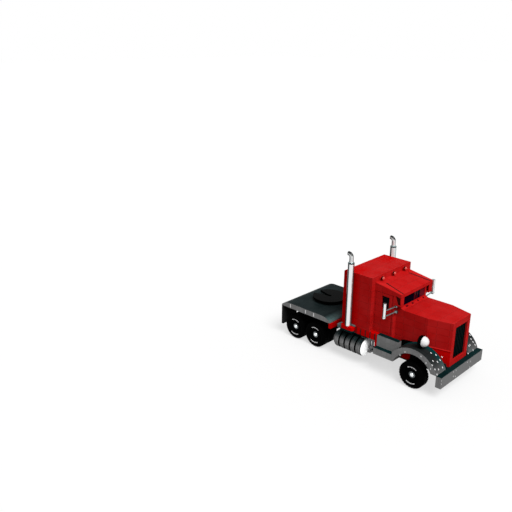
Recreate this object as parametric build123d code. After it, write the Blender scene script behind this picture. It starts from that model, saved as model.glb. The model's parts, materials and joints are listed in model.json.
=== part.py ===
from build123d import *
import math
import os

# Brick-built toy semi tractor, in millimetres. +X is forward, +Y is the truck's left, z = 0 is the
# ground. The origin is on the ground, midway along the truck.

# ---- building grid ----
stud = 8.0                      # pitch of the bricks, and the thickness of a one-stud wall

# ---- lengths along X ----
front_end = 140.0               # front face of the bumper
rear_end = -140.0               # rear face of the mud flaps
bumper_deep = 8.0
hood_back = 52.0
hood_taper_x = 100.0            # the hood sides turn inward from here
cab_back = 20.0
visor_front = 62.0
sleeper_back = -28.0
deck_front = -44.0

# ---- half widths along Y ----
half_width = 56.0
hood_half = 32.0
hood_nose_half = 23.0
cab_half = 40.0
sleeper_half = 48.0

# ---- heights ----
rail_low = 32.0
rail_top = 48.0
floor_thick = 6.4
hood_low = 38.4
hood_top = 96.0
hood_roof_thick = 9.6
roof_back_z = 127.2             # top of the cab roof where it meets the sleeper
visor_drop = 6.8                # the roof slopes down by this to the visor's lip
roof_front_z = roof_back_z - visor_drop
roof_thick = 5.0
sleeper_seam_z = 119.2
sleeper_top = 135.0
deck_thick = 8.0

# ---- wheels ----
tyre_r = 19.5
front_axle_x = 96.0
rear_axle_x = {"mid": -72.0, "rear": -112.0}
front_tyre_wide = 14.0
twin_tyre_wide = 15.0
twin_gap = 2.0
rim_r = 12.3                    # where the tyre meets the rim
rim_lip = 1.4                   # thickness of the rim's outer ring
rim_dish = 4.0                  # depth of the dish in the wheel's face
hub_r = 6.0
hub_ring_high = 1.2
hub_dome_r = 3.4
hub_dome_high = 2.2
rim_inset = 0.4                 # the rim's ring stands this far inside the tyre's face
pin_r = 2.4
pin_cover = 2.4                 # rim left in front of the pin's blind bore
pin_play = 0.15                 # play round each wheel's pin
hub_play = 0.5                  # gap between a wheel and the axle shoulder beside it
shoulder_r = 4.0

# ---- chassis ----
rail_in = 6.0
rail_out = 14.0
rail_front = front_end - bumper_deep - stud
rail_short = 4.0                # the rails end this far inside the mud flaps
rail_rear = rear_end + rail_short
cross_wide = 8.0
cross_x = (116.0, 40.0, -20.0, -52.0, -92.0, -128.0)
hanger_long = 12.0
hood_side_low = 56.4            # the hood's sides stop here behind the front wheels
hood_side_front = 91.0
liner_thick = 4.0               # black inner walls of the front wheel wells
liner_back = 61.0
liner_front = 124.0
liner_low = 24.0
web_x = (64.0, 112.0)
web_low = 34.0

floor_z = rail_top + floor_thick
axle_z = tyre_r


def block(x, y, z):
    """Box between the low and high value given for each direction."""
    middle = [(low + high) / 2 for low, high in (x, y, z)]
    return Pos(*middle) * Box(x[1] - x[0], y[1] - y[0], z[1] - z[0])


def side_profile(points, y):
    """Closed outline of (x, z) points, pulled from y[0] to y[1]."""
    outline = Polyline(*[(px, y[0], pz) for px, pz in points], close=True)
    return extrude(make_face(outline), amount=y[1] - y[0], dir=(0, 1, 0))


def plan_profile(points, z):
    """Closed outline of (x, y) points, pulled from z[0] to z[1]."""
    outline = Polyline(*[(px, py, z[0]) for px, py in points], close=True)
    return extrude(make_face(outline), amount=z[1] - z[0], dir=(0, 0, 1))


def rod_x(radius, x, y, z):
    return Pos((x[0] + x[1]) / 2, y, z) * Rot(0, 90, 0) * Cylinder(radius, x[1] - x[0])


def rod_y(radius, x, y, z):
    return Pos(x, (y[0] + y[1]) / 2, z) * Rot(90, 0, 0) * Cylinder(radius, y[1] - y[0])


def rod_z(radius, x, y, z):
    return Pos(x, y, (z[0] + z[1]) / 2) * Cylinder(radius, z[1] - z[0])


def turned(points, origin, along, dome=0.0):
    """Revolve (distance along the axis, radius) points about a line through the origin.

    The last point is on the outside; a dome of this height closes the far end on the axis.
    """
    outline = Polyline(*[(r, 0, a) for a, r in points], close=dome == 0.0)
    if dome:
        first, (end, radius) = points[0], points[-1]
        crown = (radius ** 2 + dome ** 2) / (2 * dome)
        half_angle = math.asin(radius / crown) / 2
        middle = (crown * math.sin(half_angle), 0, end + dome - crown * (1 - math.cos(half_angle)))
        outline += ThreePointArc((radius, 0, end), middle, (0, 0, end + dome))
        outline += Line((0, 0, end + dome), (first[1], 0, first[0]))
    solid = revolve(make_face(outline), axis=Axis.Z)
    return Plane(origin=origin, z_dir=along).location * solid


def swapped(shape):
    """The same piece on the other side of the truck."""
    return mirror(shape, about=Plane.XZ)


parts = {}


def add(name, shape):
    parts[name] = shape


def add_pair(name, shape):
    """A piece of the left side, and its mirror image on the right."""
    parts[name + "_left"] = shape
    parts[name + "_right"] = swapped(shape)


# ---- chassis frame and axles ----
def chassis_frame():
    frame = block((rail_rear, rail_front), (rail_in, rail_out), (rail_low, rail_top))
    frame += swapped(frame)
    for x in cross_x:
        member = block((x - cross_wide / 2, x + cross_wide / 2), (-rail_in, rail_in), (rail_low, rail_top))
        frame += member
    liner = side_profile([(hood_back, hood_low), (liner_back, hood_low), (liner_back, liner_low),
                          (liner_front, liner_low), (liner_front, hood_low), (hood_side_front, hood_low),
                          (hood_side_front, hood_side_low), (hood_back, hood_side_low)],
                         (hood_half - liner_thick, hood_half))
    for x in web_x:
        liner += block((x, x + cross_wide), (rail_out, hood_half - liner_thick), (web_low, hood_low))
    return frame + liner + swapped(liner)


def axle(x, shoulder_y, pin_y):
    """Hanger under the rails, a round shoulder each side and the pins that the wheels turn on."""
    beam = block((x - hanger_long / 2, x + hanger_long / 2), (-rail_out, rail_out),
                 (axle_z - shoulder_r, rail_low))
    beam += rod_y(shoulder_r, x, (-shoulder_y, shoulder_y), axle_z)
    beam += rod_y(pin_r, x, (-pin_y, pin_y), axle_z)
    return beam


front_wheel_in = half_width - front_tyre_wide
twin_wheel_in = half_width - 2 * twin_tyre_wide - twin_gap
pin_end = half_width - rim_dish - pin_cover

add("chassis_frame", chassis_frame())
add("front_axle", axle(front_axle_x, front_wheel_in - hub_play, pin_end))
for which, x in rear_axle_x.items():
    add(which + "_axle", axle(x, twin_wheel_in - hub_play, pin_end))


# ---- wheels ----
shoulder_cut = 2.4              # rounding of the tyre's corners


def tyre(x, y_in, width):
    """Tyre ring with rolled shoulders; its inner face is at y_in."""
    ring = turned([(0, rim_r), (width, rim_r), (width, tyre_r - shoulder_cut),
                   (width - shoulder_cut, tyre_r), (shoulder_cut, tyre_r), (0, tyre_r - shoulder_cut)],
                  (x, y_in, axle_z), (0, 1, 0))
    return ring


def rim(x, y_in, y_out):
    """Rim with a dished face, a raised hub ring and a domed cap; blind bore from the inside."""
    face = y_out - rim_dish
    points = [(0, pin_r + pin_play), (0, rim_r), (y_out - y_in - rim_inset, rim_r),
              (y_out - y_in - rim_inset, rim_r - rim_lip), (face - y_in, rim_r - rim_lip - 1.0),
              (face - y_in, hub_r), (face - y_in + hub_ring_high, hub_r), (face - y_in + hub_ring_high, 0),
              (pin_end - y_in + hub_play, 0), (pin_end - y_in + hub_play, pin_r + pin_play)]
    body = turned(points, (x, y_in, axle_z), (0, 1, 0))
    return body + turned([(0, 0), (0, hub_dome_r)], (x, face + hub_ring_high, axle_z), (0, 1, 0), hub_dome_high)


add_pair("front_tyre", tyre(front_axle_x, front_wheel_in, front_tyre_wide))
add_pair("front_rim", rim(front_axle_x, front_wheel_in, half_width))
for which, x in rear_axle_x.items():
    outer_in = half_width - twin_tyre_wide
    twins = Compound([tyre(x, twin_wheel_in, twin_tyre_wide), tyre(x, outer_in, twin_tyre_wide)])
    add_pair(which + "_tyres", twins)
    add_pair(which + "_rim", rim(x, twin_wheel_in, half_width))


# ---- bumper ----
bumper_low = 17.3
bumper_high = 16.0
bumper_foot_low = 22.4
bumper_foot_long = 20.0
bumper_back = front_end - bumper_deep
bumper_top = bumper_low + bumper_high


def bumper():
    bar = block((bumper_back, front_end), (-half_width, half_width), (bumper_low, bumper_top))
    foot = block((bumper_back - bumper_foot_long, bumper_back), (rail_in, rail_out),
                 (bumper_foot_low, rail_low))
    return bar + foot + swapped(foot)


add("bumper", bumper())


# ---- hood ----
hood_front_low = 33.3
grille_half = 15.5
grille_low = 41.0
grille_top = 88.0
grille_deep = 3.2
grille_slats = 7


def hood_plan(inset, front):
    """Half-outline of the hood seen from above, pulled in by the wall thickness."""
    return [(hood_back, hood_half - inset), (hood_taper_x, hood_half - inset),
            (front, hood_nose_half - inset), (front, inset - hood_nose_half),
            (hood_taper_x, inset - hood_half), (hood_back, inset - hood_half)]


def hood():
    shell = plan_profile(hood_plan(0, bumper_back), (hood_front_low, hood_top))
    shell -= block((hood_back - 1, bumper_back - stud), (-half_width, half_width), (0, hood_low))
    shell -= block((hood_back - 1, hood_side_front), (-half_width, half_width), (0, hood_side_low))
    shell -= plan_profile(hood_plan(stud, bumper_back - stud), (0, hood_top - hood_roof_thick))
    shell -= block((bumper_back - stud - 1, bumper_back + 1), (-grille_half, grille_half),
                   (grille_low, grille_top))
    return shell


def grille():
    back = block((bumper_back - stud, bumper_back - stud + grille_deep),
                 (-grille_half, grille_half), (grille_low, grille_top))
    pitch = 2 * grille_half / grille_slats
    for index in range(grille_slats):
        y = -grille_half + (index + 0.5) * pitch
        back += block((bumper_back - stud, bumper_back - 1.6), (y - pitch / 4, y + pitch / 4),
                      (grille_low, grille_top))
    return back


add("hood", hood())
add("grille", grille())


# ---- front fenders, steps and lamps ----
arch_in_r = 31.0
arch_out_r = arch_in_r + stud
fender_lip = 1.0                # strip left behind the wheel's arch
fender_back = front_axle_x - arch_in_r - fender_lip
fender_low = 28.8
step_back = 34.0
step_low = 28.8
step_mid = 38.4
step_top = 55.2
step_upper_out = 48.0
arm_wide = 8.0
arm_inset = 4.0
step_under = 4.0                # the upper step runs this far in under the arch
arm_low = 34.0
arm_top = 44.0


def wheel_arch(radius):
    return rod_y(radius, front_axle_x, (0, half_width + 1), axle_z)


def fender():
    arch = wheel_arch(arch_out_r) & block((fender_back, bumper_back), (hood_half, half_width),
                                          (bumper_top, hood_top))
    leg = block((fender_back, front_axle_x), (hood_half, half_width), (fender_low, axle_z + arch_in_r / 2))
    arch += leg & wheel_arch(arch_out_r)
    arch += block((fender_back, front_axle_x - arch_in_r), (hood_half, half_width),
                  (fender_low, axle_z + arch_in_r / 2))
    return arch - wheel_arch(arch_in_r)


def step():
    lower = block((step_back, fender_back), (cab_half, half_width), (step_low, step_mid))
    upper = block((step_back, fender_back + step_under), (cab_half, step_upper_out), (step_mid, step_top))
    box = lower + (upper - wheel_arch(arch_out_r))
    for x in (step_back + arm_inset, fender_back - arm_inset - arm_wide):
        box += block((x, x + arm_wide), (rail_out, cab_half), (arm_low, step_mid))
    return box


lamp_r = 8.0
lamp_y = 44.0
lamp_lift = 9.7                 # from the fender's top to the lamp's middle
lamp_z = axle_z + arch_out_r + lamp_lift
lamp_back = 97.0
lamp_cup_long = 6.0
lamp_dome_long = 7.6
lamp_foot_half = 4.0
lamp_foot_inset = 1.0


def headlamp():
    """Round cup lying along X with a domed glass in front, on a foot that follows the fender."""
    lamp = turned([(0, 0), (0, lamp_r), (lamp_cup_long, lamp_r)], (lamp_back, lamp_y, lamp_z),
                  (1, 0, 0), lamp_dome_long)
    foot = block((lamp_back + lamp_foot_inset, lamp_back + lamp_cup_long - lamp_foot_inset),
                 (lamp_y - lamp_foot_half, lamp_y + lamp_foot_half), (axle_z + arch_in_r, lamp_z))
    return lamp + (foot - wheel_arch(arch_out_r))


add_pair("front_fender", fender())
add_pair("step", step())
add_pair("headlamp", headlamp())


# ---- body floor with the slotted skirts and the exhaust shelves ----
skirt_low = 44.8
skirt_front = 32.0
skirt_back = -4.0
post_long = 3.2                 # end post of the skirt, beside the step
post_low = 35.6
post_gap = 0.4
slot_wide = 1.8
slot_deep = 3.0
shelf_back = -25.0
shelf_front = -3.0
shelf_low = 46.4
shelf_wide = 8.0


def body_floor():
    floor = block((sleeper_back, cab_back), (-sleeper_half, sleeper_half), (rail_top, floor_z))
    floor += block((cab_back, hood_back), (-cab_half, cab_half), (rail_top, floor_z))
    skirt = block((skirt_back, cab_back), (cab_half, sleeper_half), (skirt_low, rail_top))
    skirt += block((cab_back, skirt_front), (cab_half, sleeper_half), (skirt_low, floor_z))
    shelf_r = shelf_wide / 2
    shelf_mid = sleeper_half + shelf_r
    shelf = block((shelf_back + shelf_r, shelf_front - shelf_r), (sleeper_half, sleeper_half + shelf_wide),
                  (shelf_low, floor_z))
    for x in (shelf_back + shelf_r, shelf_front - shelf_r):
        shelf += rod_z(shelf_r, x, shelf_mid, (shelf_low, floor_z))
    post = block((step_back - post_gap - post_long, step_back - post_gap), (cab_half, sleeper_half),
                 (post_low, floor_z))
    side = skirt + shelf + post
    slot_x = skirt_back + slot_wide
    slots = []
    while slot_x < skirt_front:
        slots.append(block((slot_x - slot_wide / 2, slot_x + slot_wide / 2),
                           (sleeper_half - slot_deep, sleeper_half + shelf_wide + 1),
                           (skirt_low - 1, floor_z + 1)))
        slot_x += stud
    floor = floor + side
    for slot in slots:
        floor -= slot
    floor += swapped(side)
    for slot in slots:
        floor -= swapped(slot)
    return floor


add("body_floor", body_floor())


# ---- cab ----
door_jamb = 2.0
door_gap = 0.4
door_low = 57.6
door_top = roof_front_z - roof_thick - door_gap
door_thick = 6.0
door_pin_r = 1.3
door_pin_long = 1.6
door_pin_play = 0.2
window_back = 32.0
window_front = 44.0
window_low = 93.0
window_top = door_top - 3.8
glass_thick = 1.6
screen_x = 58.0                 # front face of the windscreen frame
screen_deep = 8.0
screen_inset = 0.4              # the glass stands this far behind its frame's face
screen_half = 28.0
screen_low = hood_top + 4.0
screen_top = roof_front_z - roof_thick - 0.8
cowl_long = 4.0
cowl_high = 2.0
quarter_back = 49.4             # where the rear edge of the quarter opening meets the roof line
quarter_low = 105.2
quarter_low_back = 57.6
pillar_wide = 1.0               # slim post in front of the quarter opening
cheek_thick = 1.6               # wall left beside the quarter opening
cheek_low = 103.2               # bottom of the cab's cheek over the hood
firewall = 6.0
roof_slope = (roof_back_z - roof_front_z) / (visor_front - cab_back)
door_axis_x = hood_back - door_jamb - door_gap - door_thick / 2
door_axis_y = cab_half - door_thick / 2


def roof_under(x):
    return roof_back_z - roof_thick - roof_slope * (x - cab_back)


def cab_shell():
    side = side_profile([(cab_back, floor_z), (hood_back, floor_z), (hood_back, cheek_low),
                         (visor_front, cheek_low), (visor_front, roof_under(visor_front)),
                         (cab_back, roof_under(cab_back))], (cab_half - stud, cab_half))
    side -= block((cab_back + door_jamb, hood_back - door_jamb), (cab_half - stud - 1, cab_half + 1),
                  (door_low, door_top + 2 * door_gap))
    side -= side_profile([(quarter_back, roof_back_z), (quarter_low_back, quarter_low),
                          (visor_front - pillar_wide, quarter_low),
                          (visor_front - pillar_wide, roof_back_z)],
                         (cab_half - stud - 1, cab_half + 1))
    side -= block((hood_back, visor_front - pillar_wide), (cab_half - stud - 1, cab_half - cheek_thick),
                  (quarter_low, roof_back_z))
    pin_hole = rod_z(door_pin_r + door_pin_play, door_axis_x, door_axis_y,
                     (door_low - door_pin_long - 0.4, door_top + 2 * door_gap + door_pin_long + 0.4))
    side -= pin_hole
    wall = block((hood_back - firewall, hood_back), (-cab_half + stud, cab_half - stud),
                 (floor_z, hood_top))
    sill = side_profile([(hood_back - firewall, hood_top), (screen_x, hood_top),
                         (screen_x, roof_under(screen_x)),
                         (screen_x - screen_deep, roof_under(screen_x - screen_deep)),
                         (screen_x - screen_deep, hood_top + 2), (hood_back - firewall, hood_top + 2)],
                        (-cab_half + stud, cab_half - stud))
    sill -= block((screen_x - screen_deep - 1, screen_x + 1), (-screen_half, screen_half),
                  (screen_low, screen_top))
    cowl = side_profile([(screen_x, hood_top), (screen_x + cowl_long, hood_top), (screen_x, hood_top + cowl_high)],
                        (-hood_half, hood_half))
    return side + swapped(side) + wall + sill + cowl


def cab_roof():
    return side_profile([(cab_back, roof_back_z), (visor_front, roof_front_z),
                         (visor_front, roof_front_z - roof_thick), (cab_back, roof_back_z - roof_thick)],
                        (-cab_half, cab_half))


def door():
    back = cab_back + door_jamb + door_gap
    low = door_low + door_gap
    top = door_top + door_gap
    leaf = block((back, door_axis_x), (cab_half - door_thick, cab_half), (low, top))
    leaf += rod_z(door_thick / 2, door_axis_x, door_axis_y, (low, top))
    leaf += rod_z(door_pin_r, door_axis_x, door_axis_y, (low - door_pin_long, top + door_pin_long))
    leaf -= block((window_back, window_front), (cab_half - door_thick - 1, cab_half + 1),
                  (window_low, window_top))
    return leaf


def door_glass():
    middle = cab_half - door_thick / 2
    return block((window_back, window_front), (middle - glass_thick / 2, middle + glass_thick / 2),
                 (window_low, window_top))


def windscreen():
    front = screen_x - screen_inset
    return block((front - glass_thick, front), (-screen_half, screen_half), (screen_low, screen_top))


seat_long = 12.0
seat_half = 9.0
seat_mid_y = 17.0
seat_high = 16.0
seat_back_high = 34.0
seat_back_thick = 4.8
seat_x = 24.0


def seats():
    seat = block((seat_x, seat_x + seat_long), (seat_mid_y - seat_half, seat_mid_y + seat_half),
                 (floor_z, floor_z + seat_high))
    seat += block((seat_x, seat_x + seat_back_thick), (seat_mid_y - seat_half, seat_mid_y + seat_half),
                  (floor_z + seat_high, floor_z + seat_back_high))
    return Compound([seat, swapped(seat)])


steer_r = 7.0
steer_ring_wide = 1.6
steer_ring_thick = 2.0
steer_hub_r = 2.0
steer_column_r = 1.2
steer_column_long = 9.0
steer_ahead = 6.0               # from the ring's middle to the firewall
steer_high = 30.0
steer_tilt = 60.0


def steering_wheel():
    """Toy steering wheel on a short column from the firewall."""
    place = Pos(hood_back - firewall - steer_ahead, seat_mid_y, floor_z + steer_high) * Rot(0, steer_tilt, 0)
    ring = Cylinder(steer_r, steer_ring_thick) - Cylinder(steer_r - steer_ring_wide, 2 * steer_ring_thick)
    ring += Box(2 * steer_r - steer_ring_wide, steer_ring_wide, steer_ring_thick)
    ring += Cylinder(steer_hub_r, steer_ring_thick)
    ring += Pos(0, 0, steer_column_long / 2) * Cylinder(steer_column_r, steer_column_long)
    return place * ring - block((hood_back - firewall, hood_back + steer_column_long),
                                (0, cab_half), (floor_z, hood_top))


add("cab_shell", cab_shell())
add("cab_roof", cab_roof())
add_pair("door", door())
add_pair("door_glass", door_glass())
add("windscreen", windscreen())
add("seats", seats())
add("steering_wheel", steering_wheel())


# ---- sleeper ----
sleeper_round = 2.0
marker_y = (-28.0, 0.0, 28.0)
marker_z = 131.0
marker_r = 2.6
marker_long = 6.0


def sleeper_shell():
    shell = block((sleeper_back, cab_back), (-sleeper_half, sleeper_half), (floor_z, sleeper_seam_z))
    shell -= block((sleeper_back + stud, cab_back - stud), (stud - sleeper_half, sleeper_half - stud),
                   (0, sleeper_top))
    shell -= block((cab_back - stud - 1, cab_back + 1), (stud - cab_half, cab_half - stud),
                   (0, sleeper_top))
    return shell


def sleeper_roof():
    roof = block((sleeper_back, cab_back), (-sleeper_half, sleeper_half), (sleeper_seam_z, sleeper_top))
    rear = roof.edges().filter_by(Axis.Y).group_by(Axis.X)[0].sort_by(Axis.Z)[-1]
    return fillet(rear, sleeper_round)


def marker_lights():
    return Compound([rod_x(marker_r, (cab_back, cab_back + marker_long), y, marker_z) for y in marker_y])


add("sleeper_shell", sleeper_shell())
add("sleeper_roof", sleeper_roof())
add("marker_lights", marker_lights())


# ---- exhausts and mirrors ----
stack_x = -14.2
stack_r = 4.0
stack_top = 150.3
neck_r = 3.0
neck_top = 158.0
elbow_r = 5.0
stack_y = sleeper_half + shelf_wide / 2


def exhaust():
    stack = rod_z(stack_r, stack_x, stack_y, (floor_z, stack_top))
    stack += rod_z(neck_r, stack_x, stack_y, (stack_top, neck_top))
    centre = (stack_x - elbow_r, stack_y, neck_top)
    circle = Plane(origin=(stack_x, stack_y, neck_top)) * Circle(neck_r)
    bend = revolve(circle, axis=Axis(centre, (0, -1, 0)), revolution_arc=90)
    bore = rod_x(neck_r - 1.0, (stack_x - elbow_r - 1, stack_x - elbow_r + 2), stack_y, neck_top + elbow_r)
    return stack + bend - bore


mirror_reach = 22.0
mirror_y = cab_half + mirror_reach
mirror_r = 2.4
mirror_low = 92.8
mirror_top = 112.0
mirror_ball_r = 2.8
arm_z = (101.0, 92.8)
mirror_sweep = 2.4              # the tube stands this far behind the knobs
mirror_arm_r = 1.0
knob_r = 2.0
knob_y = cab_half - 3.0
knob_long = 4.0


def side_mirror():
    """Upright tube with a ball foot, on two arms that clip to the cab's front corner."""
    knob_x = hood_back + knob_long / 2
    tube_x = knob_x - mirror_sweep
    tube = rod_z(mirror_r, tube_x, mirror_y, (mirror_low, mirror_top))
    tube += Pos(tube_x, mirror_y, mirror_low - 1.0) * Sphere(mirror_ball_r)
    reach = (tube_x - knob_x, mirror_y - knob_y, 0)
    arm_long = math.hypot(*reach)
    for z in arm_z:
        middle = ((tube_x + knob_x) / 2, (mirror_y + knob_y) / 2, z)
        tube += Plane(origin=middle, z_dir=reach).location * Cylinder(mirror_arm_r, arm_long)
        tube += rod_x(knob_r, (hood_back, hood_back + knob_long), knob_y, z)
    return tube


add_pair("exhaust", exhaust())
add_pair("mirror", side_mirror())


# ---- fuel tanks ----
tank_r = 13.4
tank_y = 42.4
tank_z = 25.2
tank_back = -36.0
drums = 5
drum_long = 9.6
drum_groove = 2.0
drum_groove_deep = 2.0
dish_r = 11.6
dish_long = 4.0


def tank():
    """Row of ribbed drums with a dished cap at each end, hung on two arms from the rail."""
    points = [(-dish_long, 0), (-dish_long, dish_r - 4), (0, dish_r)]
    for index in range(drums):
        start = index * drum_long
        points += [(start + drum_groove / 2, tank_r - drum_groove_deep), (start + drum_groove / 2, tank_r),
                   (start + drum_long - drum_groove / 2, tank_r),
                   (start + drum_long - drum_groove / 2, tank_r - drum_groove_deep)]
    end = drums * drum_long
    points += [(end, dish_r), (end + dish_long, dish_r - 4), (end + dish_long, 0)]
    body = turned(points, (tank_back, tank_y, tank_z), (1, 0, 0))
    for index in (0, drums - 1):
        start = tank_back + index * drum_long + drum_groove / 2
        body += block((start, start + arm_wide), (rail_out, tank_y), (arm_low, arm_top))
    return body


add_pair("fuel_tank", tank())


# ---- rear deck ----
deck_end_drop = 6.0
deck_curve_long = 15.0
deck_panel_thick = 4.0
deck_panel_low = 40.0
flap_thick = 3.2
flap_in = 24.0
flap_low = 16.7
deck_top = rail_top + deck_thick


def deck():
    """Full-width slab over the rear wheels, its top rolled down at both ends."""
    end_z = deck_top - deck_end_drop
    profile = Polyline((rear_end, 0, end_z), (rear_end, 0, rail_top), (deck_front, 0, rail_top),
                       (deck_front, 0, end_z))
    profile += ThreePointArc((deck_front, 0, end_z),
                             (deck_front - deck_curve_long * 0.34, 0, deck_top - deck_end_drop * 0.42),
                             (deck_front - deck_curve_long, 0, deck_top))
    profile += Line((deck_front - deck_curve_long, 0, deck_top), (rear_end + deck_curve_long, 0, deck_top))
    profile += ThreePointArc((rear_end + deck_curve_long, 0, deck_top),
                             (rear_end + deck_curve_long * 0.34, 0, deck_top - deck_end_drop * 0.42),
                             (rear_end, 0, end_z))
    slab = extrude(make_face(profile), amount=half_width, dir=(0, 1, 0))
    return slab + swapped(slab)


def deck_panel():
    panel = block((deck_front - deck_panel_thick / 2, deck_front + deck_panel_thick / 2),
                  (-half_width, half_width), (deck_panel_low, rail_top))
    notch = block((deck_front - stud, deck_front + stud), (rail_in, rail_out), (0, rail_top + 1))
    return panel - notch - swapped(notch)


def mud_flaps():
    flap = block((rear_end, rear_end + flap_thick), (flap_in, half_width), (flap_low, rail_top))
    return Compound([flap, swapped(flap)])


coupling_x = -90.0
coupling_r = 26.0
coupling_thick = 3.2
coupling_bore_r = 3.2
pedestal_half = 12.0
pedestal_high = 3.2
throat_half = 8.0
throat_neck_half = 2.0          # the neck is narrower than the bore, so the pin snaps in


def fifth_wheel():
    """Round coupling plate with a throat open to the rear and the bore for the trailer's pin."""
    low = deck_top + pedestal_high
    plate = rod_z(coupling_r, coupling_x, 0, (low, low + coupling_thick))
    throat = plan_profile([(coupling_x, throat_neck_half),
                           (coupling_x - coupling_bore_r, throat_neck_half),
                           (coupling_x - coupling_r - 1, throat_half),
                           (coupling_x - coupling_r - 1, -throat_half),
                           (coupling_x - coupling_bore_r, -throat_neck_half),
                           (coupling_x, -throat_neck_half)], (low - 1, low + coupling_thick + 1))
    plate -= throat
    plate += block((coupling_x - pedestal_half, coupling_x + pedestal_half),
                   (-2 * pedestal_half + 4, 2 * pedestal_half - 4), (deck_top, low))
    return plate - rod_z(coupling_bore_r, coupling_x, 0, (deck_top, low + coupling_thick + 1))


add("deck", deck())
add("deck_panel", deck_panel())
add("mud_flaps", mud_flaps())
add("fifth_wheel", fifth_wheel())


os.makedirs("parts", exist_ok=True)
for name, shape in parts.items():
    export_step(shape, "parts/" + name + ".step")
print(len(parts), "parts")
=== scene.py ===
import bpy, bmesh, math, json
from mathutils import Vector, Matrix


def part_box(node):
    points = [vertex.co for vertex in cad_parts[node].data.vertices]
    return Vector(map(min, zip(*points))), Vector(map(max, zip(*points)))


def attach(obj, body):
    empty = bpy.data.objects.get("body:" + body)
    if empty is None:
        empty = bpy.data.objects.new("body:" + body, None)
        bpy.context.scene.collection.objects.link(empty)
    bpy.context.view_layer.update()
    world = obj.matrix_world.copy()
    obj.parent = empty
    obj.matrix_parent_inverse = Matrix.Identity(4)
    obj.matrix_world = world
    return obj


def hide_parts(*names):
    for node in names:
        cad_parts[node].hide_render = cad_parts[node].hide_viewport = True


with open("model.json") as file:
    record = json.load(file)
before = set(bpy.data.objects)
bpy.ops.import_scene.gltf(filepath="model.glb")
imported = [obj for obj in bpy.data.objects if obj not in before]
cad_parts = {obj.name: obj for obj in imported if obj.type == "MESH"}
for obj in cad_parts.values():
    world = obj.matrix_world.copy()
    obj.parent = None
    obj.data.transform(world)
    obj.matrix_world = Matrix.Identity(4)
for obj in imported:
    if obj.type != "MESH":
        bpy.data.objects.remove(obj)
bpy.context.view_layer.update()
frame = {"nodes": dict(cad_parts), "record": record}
mm = 0.001
sides = {"left": 1, "right": -1}
print("frame loaded:", len(frame["nodes"]), "nodes")


# camera, light and floor

cameraPlan = {
    "place": (0.4673, -0.7130, 0.4436),
    "yaw": 45.372,          # degrees left of straight ahead along +Y
    "pitch": 19.356,        # degrees below the horizon
    "lens": 43.456,
    "sensor": 36.0,         # mm wide
    "clip": (0.01, 50.0),
}
lightPlan = {
    "keyFrom": (0.59, -0.20, 0.85),
    "keyStrength": 2.46,
    "keySpread": 38.0,      # degrees, for soft shadow edges
    "fill": 0.385,
    "floorHalf": 12.0,      # metres
    "floorGrey": "#8A8A8A",
    "floorWhite": "#FFFFFF",
    "floorGlow": 0.62,      # share of the backdrop's own white, the rest takes the shadow
}


def makeCamera(plan):
    data = bpy.data.cameras.new("camera")
    data.sensor_width = plan["sensor"]
    data.lens = plan["lens"]
    data.clip_start, data.clip_end = plan["clip"]
    camera = bpy.data.objects.new("camera", data)
    camera.location = plan["place"]
    camera.rotation_euler = (math.radians(90 - plan["pitch"]), 0, math.radians(plan["yaw"]))
    bpy.context.scene.collection.objects.link(camera)
    bpy.context.scene.camera = camera


def toLinear(hexColour):
    parts = [int(hexColour[i:i + 2], 16) / 255 for i in (1, 3, 5)]
    return tuple(c / 12.92 if c <= 0.04045 else ((c + 0.055) / 1.055) ** 2.4 for c in parts) + (1.0,)


def addNode(tree, kind, settings=None):
    # a value that is another node's socket is linked, and any other value is set
    node = tree.nodes.new(kind)
    for key, value in (settings or {}).items():
        if isinstance(value, bpy.types.NodeSocket):
            tree.links.new(value, node.inputs[key])
        elif isinstance(key, int) or key in node.inputs:
            node.inputs[key].default_value = value
        else:
            setattr(node, key, value)
    return node


def litBackground(tree):
    # camera, mirror and see-through rays meet the white backdrop
    path = addNode(tree, "ShaderNodeLightPath")
    seen = addNode(tree, "ShaderNodeMath", {"operation": "ADD", 0: path.outputs["Is Camera Ray"],
                                            1: path.outputs["Is Glossy Ray"]})
    both = addNode(tree, "ShaderNodeMath", {"operation": "ADD", "use_clamp": True, 0: seen.outputs[0],
                                            1: path.outputs["Is Transmission Ray"]})
    return both.outputs[0]


def makeWorld(plan):
    world = bpy.data.worlds.new("studio")
    bpy.context.scene.world = world
    world.use_nodes = True
    tree = world.node_tree
    tree.nodes.clear()
    seen = litBackground(tree)
    strength = addNode(tree, "ShaderNodeMapRange", {"To Min": plan["fill"], "To Max": 1.0, "Value": seen})
    sky = addNode(tree, "ShaderNodeBackground", {"Color": (1, 1, 1, 1), "Strength": strength.outputs[0]})
    addNode(tree, "ShaderNodeOutputWorld", {"Surface": sky.outputs[0]})


def makeKey(plan):
    data = bpy.data.lights.new("keyLight", "SUN")
    data.energy = plan["keyStrength"]
    data.angle = math.radians(plan["keySpread"])
    key = bpy.data.objects.new("keyLight", data)
    key.rotation_euler = Vector(plan["keyFrom"]).to_track_quat("Z", "Y").to_euler()
    bpy.context.scene.collection.objects.link(key)


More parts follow.
